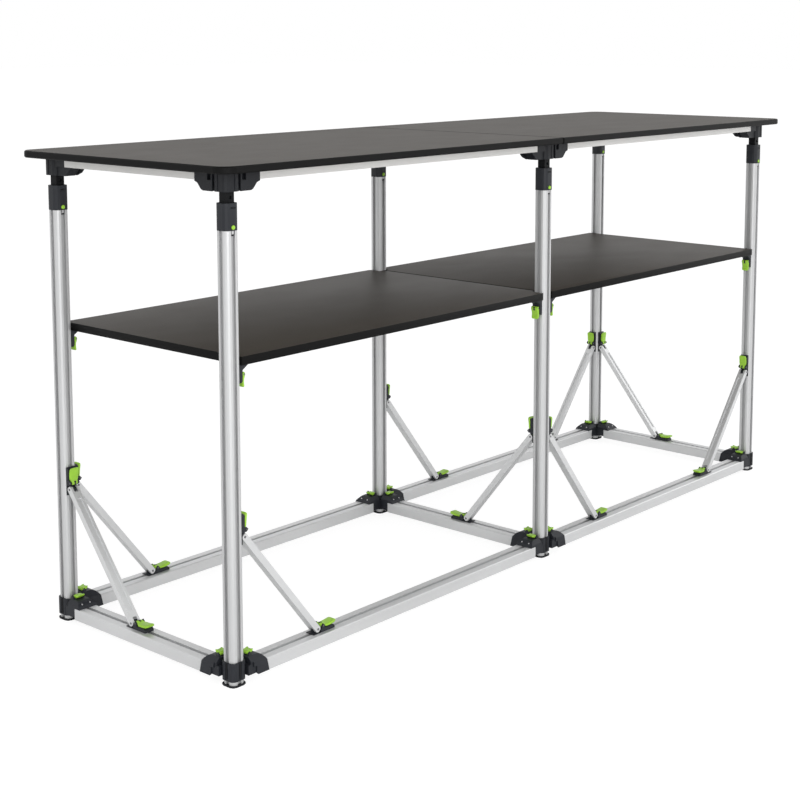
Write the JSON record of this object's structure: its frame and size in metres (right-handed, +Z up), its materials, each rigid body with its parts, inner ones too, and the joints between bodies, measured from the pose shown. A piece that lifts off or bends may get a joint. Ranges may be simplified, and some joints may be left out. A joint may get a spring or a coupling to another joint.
{
  "type": "folding table",
  "caption": "Long work table with a plug-together aluminium frame, dark corner joints, green quick-release levers, slanted braces, a lower shelf and a dark two-board top",
  "frame": {"origin": "on the floor under the middle of the top", "axes": "+X along the table's length to the right, +Y to the rear, +Z up"},
  "size_m": [1.87, 0.566, 0.9],
  "materials": {
    "anodised_aluminium": "satin anodised extrusion",
    "anthracite_plastic": "fine matt moulded",
    "green_plastic": "satin moulded",
    "black_board": "matt black laminate on board",
    "steel_pin": "plain steel",
    "foot_plastic": "matt moulded"
  },
  "bodies": {
    "frame": {"post_left_front": "anodised_aluminium", "post_left_rear": "anodised_aluminium", "post_middle_front": "anodised_aluminium", "post_middle_rear": "anodised_aluminium", "post_right_front": "anodised_aluminium", "post_right_rear": "anodised_aluminium", "foot_pads": "foot_plastic", "base_sockets_corner": "anthracite_plastic", "base_sockets_middle": "anthracite_plastic", "base_rails_long": "anodised_aluminium", "base_rails_cross": "anodised_aluminium", "leg_heads": "anthracite_plastic", "shelf_board_left": "black_board", "shelf_board_right": "black_board", "shelf_clamp_bodies": "anthracite_plastic", "brace_post_clamps": "anthracite_plastic"},
    "top": {"top_board_left": "black_board", "top_board_right": "black_board", "top_rails_long": "anodised_aluminium", "top_rails_cross": "anodised_aluminium", "top_connectors_corner": "anthracite_plastic", "top_connectors_middle": "anthracite_plastic", "telescopic_necks": "anthracite_plastic"},
    "buttons": {"lock_buttons": "green_plastic"},
    "long_brace_left": {"long_brace_left_tubes": "anodised_aluminium", "long_brace_left_pins": "steel_pin"},
    "long_brace_left_rail_clamp": {"long_brace_left_rail_clamps": "anthracite_plastic"},
    "long_brace_left_rail_lever": {"long_brace_left_rail_levers": "green_plastic"},
    "long_brace_left_post_lever": {"long_brace_left_post_levers": "green_plastic"},
    "long_brace_middle": {"long_brace_middle_tubes": "anodised_aluminium", "long_brace_middle_pins": "steel_pin"},
    "long_brace_middle_rail_clamp": {"long_brace_middle_rail_clamps": "anthracite_plastic"},
    "long_brace_middle_rail_lever": {"long_brace_middle_rail_levers": "green_plastic"},
    "long_brace_middle_post_lever": {"long_brace_middle_post_levers": "green_plastic"},
    "long_brace_right": {"long_brace_right_tubes": "anodised_aluminium", "long_brace_right_pins": "steel_pin"},
    "long_brace_right_rail_clamp": {"long_brace_right_rail_clamps": "anthracite_plastic"},
    "long_brace_right_rail_lever": {"long_brace_right_rail_levers": "green_plastic"},
    "long_brace_right_post_lever": {"long_brace_right_post_levers": "green_plastic"},
    "cross_brace_outer": {"cross_brace_outer_tubes": "anodised_aluminium", "cross_brace_outer_pins": "steel_pin"},
    "cross_brace_outer_rail_clamp": {"cross_brace_outer_rail_clamps": "anthracite_plastic"},
    "cross_brace_outer_rail_lever": {"cross_brace_outer_rail_levers": "green_plastic"},
    "cross_brace_outer_post_lever": {"cross_brace_outer_post_levers": "green_plastic"},
    "cross_brace_middle": {"cross_brace_middle_tubes": "anodised_aluminium", "cross_brace_middle_pins": "steel_pin"},
    "cross_brace_middle_rail_clamp": {"cross_brace_middle_rail_clamps": "anthracite_plastic"},
    "cross_brace_middle_rail_lever": {"cross_brace_middle_rail_levers": "green_plastic"},
    "cross_brace_middle_post_lever": {"cross_brace_middle_post_levers": "green_plastic"},
    "rail_latches_left_body": {"rail_latches_left": "green_plastic"},
    "rail_latches_middle_west_body": {"rail_latches_middle_west": "green_plastic"},
    "rail_latches_middle_east_body": {"rail_latches_middle_east": "green_plastic"},
    "rail_latches_right_body": {"rail_latches_right": "green_plastic"},
    "rail_latches_front_body": {"rail_latches_front": "green_plastic"},
    "rail_latches_rear_body": {"rail_latches_rear": "green_plastic"},
    "shelf_levers_left_body": {"shelf_levers_left": "green_plastic"},
    "shelf_levers_middle_west_body": {"shelf_levers_middle_west": "green_plastic"},
    "shelf_levers_middle_east_body": {"shelf_levers_middle_east": "green_plastic"},
    "shelf_levers_right_body": {"shelf_levers_right": "green_plastic"}
  },
  "joints": [
    {"name": "top_height", "type": "slide", "parent": "frame", "child": "top", "axis": [0, 0, 1], "range_m": [0, 0.042]},
    {"name": "lock_buttons_press", "type": "slide", "parent": "frame", "child": "buttons", "axis": [0, 1, 0], "range_m": [0, 0.002], "stiffness_N_per_m": 600, "springref_m": -0.001},
    {"name": "long_brace_left_swing", "type": "hinge", "parent": "frame", "child": "long_brace_left", "pos_m": [-0.8625, 0.233, 0.258], "axis": [0, -1, 0], "range_deg": [0, 50]},
    {"name": "long_brace_left_clamp_level", "type": "hinge", "parent": "long_brace_left", "child": "long_brace_left_rail_clamp", "pos_m": [-0.687, 0.233, 0.0411], "axis": [0, 1, 0], "range_deg": [0, 50]},
    {"name": "long_brace_left_rail_lever_flip", "type": "hinge", "parent": "long_brace_left_rail_clamp", "child": "long_brace_left_rail_lever", "pos_m": [-0.674, 0.233, 0.0444], "axis": [0, -1, 0], "range_deg": [0, 95]},
    {"name": "long_brace_left_post_lever_flip", "type": "hinge", "parent": "frame", "child": "long_brace_left_post_lever", "pos_m": [-0.8592, 0.233, 0.271], "axis": [0, 1, 0], "range_deg": [0, 95]},
    {"name": "long_brace_middle_swing", "type": "hinge", "parent": "frame", "child": "long_brace_middle", "pos_m": [0.0225, 0.233, 0.258], "axis": [0, -1, 0], "range_deg": [0, 50]},
    {"name": "long_brace_middle_clamp_level", "type": "hinge", "parent": "long_brace_middle", "child": "long_brace_middle_rail_clamp", "pos_m": [0.198, 0.233, 0.0411], "axis": [0, 1, 0], "range_deg": [0, 50]},
    {"name": "long_brace_middle_rail_lever_flip", "type": "hinge", "parent": "long_brace_middle_rail_clamp", "child": "long_brace_middle_rail_lever", "pos_m": [0.211, 0.233, 0.0444], "axis": [0, -1, 0], "range_deg": [0, 95]},
    {"name": "long_brace_middle_post_lever_flip", "type": "hinge", "parent": "frame", "child": "long_brace_middle_post_lever", "pos_m": [0.0258, 0.233, 0.271], "axis": [0, 1, 0], "range_deg": [0, 95]},
    {"name": "long_brace_right_swing", "type": "hinge", "parent": "frame", "child": "long_brace_right", "pos_m": [0.8625, 0.233, 0.258], "axis": [0, 1, 0], "range_deg": [0, 50]},
    {"name": "long_brace_right_clamp_level", "type": "hinge", "parent": "long_brace_right", "child": "long_brace_right_rail_clamp", "pos_m": [0.687, 0.233, 0.0411], "axis": [0, -1, 0], "range_deg": [0, 50]},
    {"name": "long_brace_right_rail_lever_flip", "type": "hinge", "parent": "long_brace_right_rail_clamp", "child": "long_brace_right_rail_lever", "pos_m": [0.674, 0.233, 0.0444], "axis": [0, 1, 0], "range_deg": [0, 95]},
    {"name": "long_brace_right_post_lever_flip", "type": "hinge", "parent": "frame", "child": "long_brace_right_post_lever", "pos_m": [0.8592, 0.233, 0.271], "axis": [0, -1, 0], "range_deg": [0, 95]},
    {"name": "cross_brace_outer_swing", "type": "hinge", "parent": "frame", "child": "cross_brace_outer", "pos_m": [-0.885, 0.2105, 0.258], "axis": [-1, 0, 0], "range_deg": [0, 50]},
    {"name": "cross_brace_outer_clamp_level", "type": "hinge", "parent": "cross_brace_outer", "child": "cross_brace_outer_rail_clamp", "pos_m": [-0.885, 0.035, 0.0411], "axis": [1, 0, 0], "range_deg": [0, 50]},
    {"name": "cross_brace_outer_rail_lever_flip", "type": "hinge", "parent": "cross_brace_outer_rail_clamp", "child": "cross_brace_outer_rail_lever", "pos_m": [-0.885, 0.022, 0.0444], "axis": [-1, 0, 0], "range_deg": [0, 95]},
    {"name": "cross_brace_outer_post_lever_flip", "type": "hinge", "parent": "frame", "child": "cross_brace_outer_post_lever", "pos_m": [-0.885, 0.2072, 0.271], "axis": [1, 0, 0], "range_deg": [0, 95]},
    {"name": "cross_brace_middle_swing", "type": "hinge", "parent": "frame", "child": "cross_brace_middle", "pos_m": [0, -0.2105, 0.258], "axis": [1, 0, 0], "range_deg": [0, 50]},
    {"name": "cross_brace_middle_clamp_level", "type": "hinge", "parent": "cross_brace_middle", "child": "cross_brace_middle_rail_clamp", "pos_m": [0, -0.035, 0.0411], "axis": [-1, 0, 0], "range_deg": [0, 50]},
    {"name": "cross_brace_middle_rail_lever_flip", "type": "hinge", "parent": "cross_brace_middle_rail_clamp", "child": "cross_brace_middle_rail_lever", "pos_m": [0, -0.022, 0.0444], "axis": [1, 0, 0], "range_deg": [0, 95]},
    {"name": "cross_brace_middle_post_lever_flip", "type": "hinge", "parent": "frame", "child": "cross_brace_middle_post_lever", "pos_m": [0, -0.2072, 0.271], "axis": [-1, 0, 0], "range_deg": [0, 95]},
    {"name": "rail_latches_left_lift", "type": "hinge", "parent": "frame", "child": "rail_latches_left_body", "pos_m": [-0.858, -0.233, 0.0498], "axis": [0, -1, 0], "range_deg": [0, 75]},
    {"name": "rail_latches_middle_west_lift", "type": "hinge", "parent": "frame", "child": "rail_latches_middle_west_body", "pos_m": [-0.027, -0.233, 0.0498], "axis": [0, 1, 0], "range_deg": [0, 75]},
    {"name": "rail_latches_middle_east_lift", "type": "hinge", "parent": "frame", "child": "rail_latches_middle_east_body", "pos_m": [0.027, -0.233, 0.0498], "axis": [0, -1, 0], "range_deg": [0, 75]},
    {"name": "rail_latches_right_lift", "type": "hinge", "parent": "frame", "child": "rail_latches_right_body", "pos_m": [0.858, -0.233, 0.0498], "axis": [0, 1, 0], "range_deg": [0, 75]},
    {"name": "rail_latches_front_lift", "type": "hinge", "parent": "frame", "child": "rail_latches_front_body", "pos_m": [-0.885, -0.206, 0.0498], "axis": [1, 0, 0], "range_deg": [0, 75]},
    {"name": "rail_latches_rear_lift", "type": "hinge", "parent": "frame", "child": "rail_latches_rear_body", "pos_m": [-0.885, 0.206, 0.0498], "axis": [-1, 0, 0], "range_deg": [0, 75]},
    {"name": "shelf_levers_left_flip", "type": "hinge", "parent": "frame", "child": "shelf_levers_left_body", "pos_m": [-0.8592, -0.233, 0.5415], "axis": [0, -1, 0], "range_deg": [0, 85]},
    {"name": "shelf_levers_middle_west_flip", "type": "hinge", "parent": "frame", "child": "shelf_levers_middle_west_body", "pos_m": [-0.0258, -0.233, 0.5415], "axis": [0, 1, 0], "range_deg": [0, 85]},
    {"name": "shelf_levers_middle_east_flip", "type": "hinge", "parent": "frame", "child": "shelf_levers_middle_east_body", "pos_m": [0.0258, -0.233, 0.5415], "axis": [0, -1, 0], "range_deg": [0, 85]},
    {"name": "shelf_levers_right_flip", "type": "hinge", "parent": "frame", "child": "shelf_levers_right_body", "pos_m": [0.8592, -0.233, 0.5415], "axis": [0, 1, 0], "range_deg": [0, 85]}
  ],
  "couplings": [
    {"joint": "long_brace_left_clamp_level", "follows": "long_brace_left_swing", "ratio": 1},
    {"joint": "long_brace_middle_clamp_level", "follows": "long_brace_middle_swing", "ratio": 1},
    {"joint": "long_brace_right_clamp_level", "follows": "long_brace_right_swing", "ratio": 1},
    {"joint": "cross_brace_outer_clamp_level", "follows": "cross_brace_outer_swing", "ratio": 1},
    {"joint": "cross_brace_middle_clamp_level", "follows": "cross_brace_middle_swing", "ratio": 1}
  ]
}
